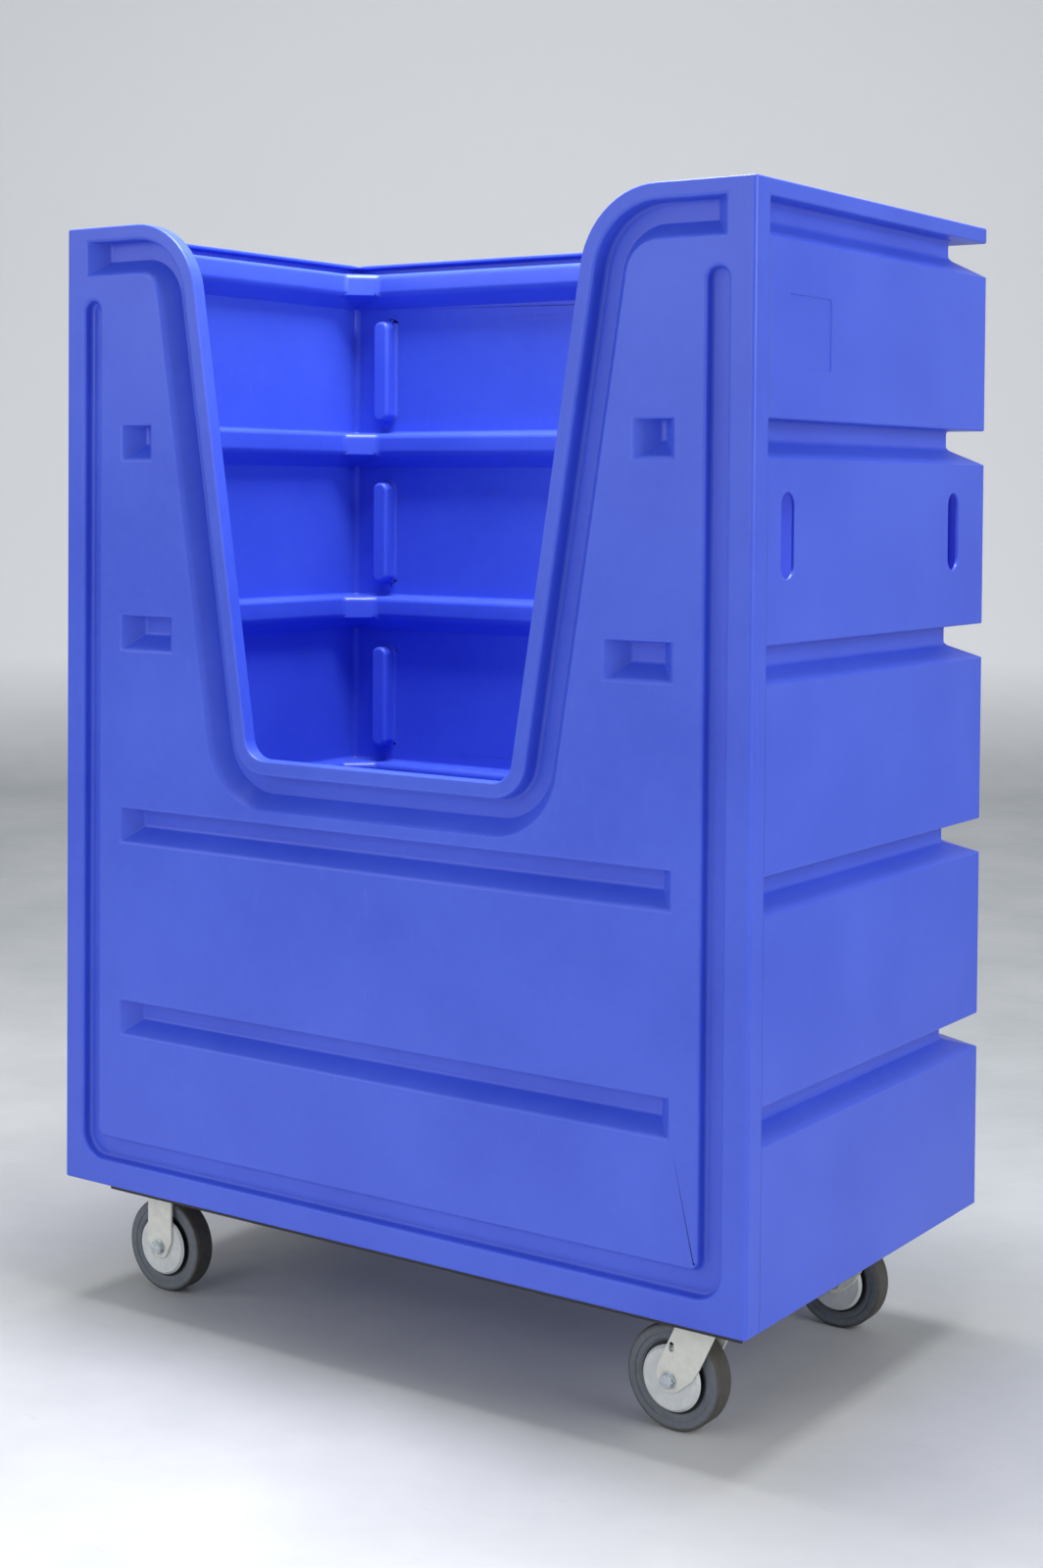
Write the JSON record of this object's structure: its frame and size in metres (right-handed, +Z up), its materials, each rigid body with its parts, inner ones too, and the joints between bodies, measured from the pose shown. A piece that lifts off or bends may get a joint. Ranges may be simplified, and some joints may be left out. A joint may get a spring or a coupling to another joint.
{
  "type": "bulk linen cart",
  "caption": "Tall open-top moulded plastic cart with a deep loading mouth, ribbed walls and hand slots, on a steel frame with rigid casters at one end and swivel casters at the other.",
  "frame": {"origin": "centre of the bounding box's base, on the ground under the middle of the tub", "axes": "+Z up, +X along the length towards the swivel casters, -Y out of the loading mouth"},
  "size_m": [1.276, 0.75, 1.746],
  "materials": {
    "tub_polyethylene": "satin rotationally moulded polyethylene",
    "frame_black_steel": "black enamel",
    "tyre_grey_rubber": "solid grey non-marking rubber",
    "wheel_core_plastic": "moulded black plastic",
    "caster_plated_steel": "off-white plating",
    "guard_plated_steel": "pale grey plating",
    "bearing_steel": "ground steel",
    "fastener_zinc": "bright zinc"
  },
  "bodies": {
    "cart": {"back_left_axle_bolt": "fastener_zinc", "back_left_axle_nut": "fastener_zinc", "back_left_bracket": "caster_plated_steel", "back_left_guards": "guard_plated_steel", "back_left_sleeve": "bearing_steel", "back_right_kingpin": "bearing_steel", "back_right_plate": "caster_plated_steel", "back_right_shield": "caster_plated_steel", "body_shell": "tub_polyethylene", "caster_bolts": "fastener_zinc", "caster_nuts": "fastener_zinc", "corner_bolts": "fastener_zinc", "corner_nuts": "fastener_zinc", "floor_bolts": "fastener_zinc", "floor_nuts": "fastener_zinc", "frame_back_rail": "frame_black_steel", "frame_corner_plates": "frame_black_steel", "frame_front_rail": "frame_black_steel", "frame_left_channel": "frame_black_steel", "frame_left_rail": "frame_black_steel", "frame_right_channel": "frame_black_steel", "frame_right_rail": "frame_black_steel", "frame_stringers": "frame_black_steel", "front_left_axle_bolt": "fastener_zinc", "front_left_axle_nut": "fastener_zinc", "front_left_bracket": "caster_plated_steel", "front_left_guards": "guard_plated_steel", "front_left_sleeve": "bearing_steel", "front_right_kingpin": "bearing_steel", "front_right_plate": "caster_plated_steel", "front_right_shield": "caster_plated_steel"},
    "front_right_swivel": {"front_right_axle_bolt": "fastener_zinc", "front_right_axle_nut": "fastener_zinc", "front_right_balls": "bearing_steel", "front_right_fork": "caster_plated_steel", "front_right_guards": "guard_plated_steel", "front_right_sleeve": "bearing_steel"},
    "back_right_swivel": {"back_right_axle_bolt": "fastener_zinc", "back_right_axle_nut": "fastener_zinc", "back_right_balls": "bearing_steel", "back_right_fork": "caster_plated_steel", "back_right_guards": "guard_plated_steel", "back_right_sleeve": "bearing_steel"},
    "front_left_wheel": {"front_left_tyre": "tyre_grey_rubber", "front_left_wheel_core": "wheel_core_plastic"},
    "back_left_wheel": {"back_left_tyre": "tyre_grey_rubber", "back_left_wheel_core": "wheel_core_plastic"},
    "front_right_wheel": {"front_right_tyre": "tyre_grey_rubber", "front_right_wheel_core": "wheel_core_plastic"},
    "back_right_wheel": {"back_right_tyre": "tyre_grey_rubber", "back_right_wheel_core": "wheel_core_plastic"}
  },
  "joints": [
    {"name": "front_right_swivel_turn", "type": "hinge", "parent": "cart", "child": "front_right_swivel", "pos_m": [0.513, -0.251, 0.1755], "axis": [0, 0, 1], "continuous": true},
    {"name": "front_right_wheel_spin", "type": "hinge", "parent": "front_right_swivel", "child": "front_right_wheel", "pos_m": [0.463, -0.251, 0.0762], "axis": [0, 1, 0], "continuous": true},
    {"name": "front_left_wheel_spin", "type": "hinge", "parent": "cart", "child": "front_left_wheel", "pos_m": [-0.516, -0.251, 0.0762], "axis": [0, 1, 0], "continuous": true},
    {"name": "back_right_swivel_turn", "type": "hinge", "parent": "cart", "child": "back_right_swivel", "pos_m": [0.513, 0.251, 0.1755], "axis": [0, 0, 1], "continuous": true},
    {"name": "back_right_wheel_spin", "type": "hinge", "parent": "back_right_swivel", "child": "back_right_wheel", "pos_m": [0.463, 0.251, 0.0762], "axis": [0, 1, 0], "continuous": true},
    {"name": "back_left_wheel_spin", "type": "hinge", "parent": "cart", "child": "back_left_wheel", "pos_m": [-0.516, 0.251, 0.0762], "axis": [0, 1, 0], "continuous": true}
  ]
}
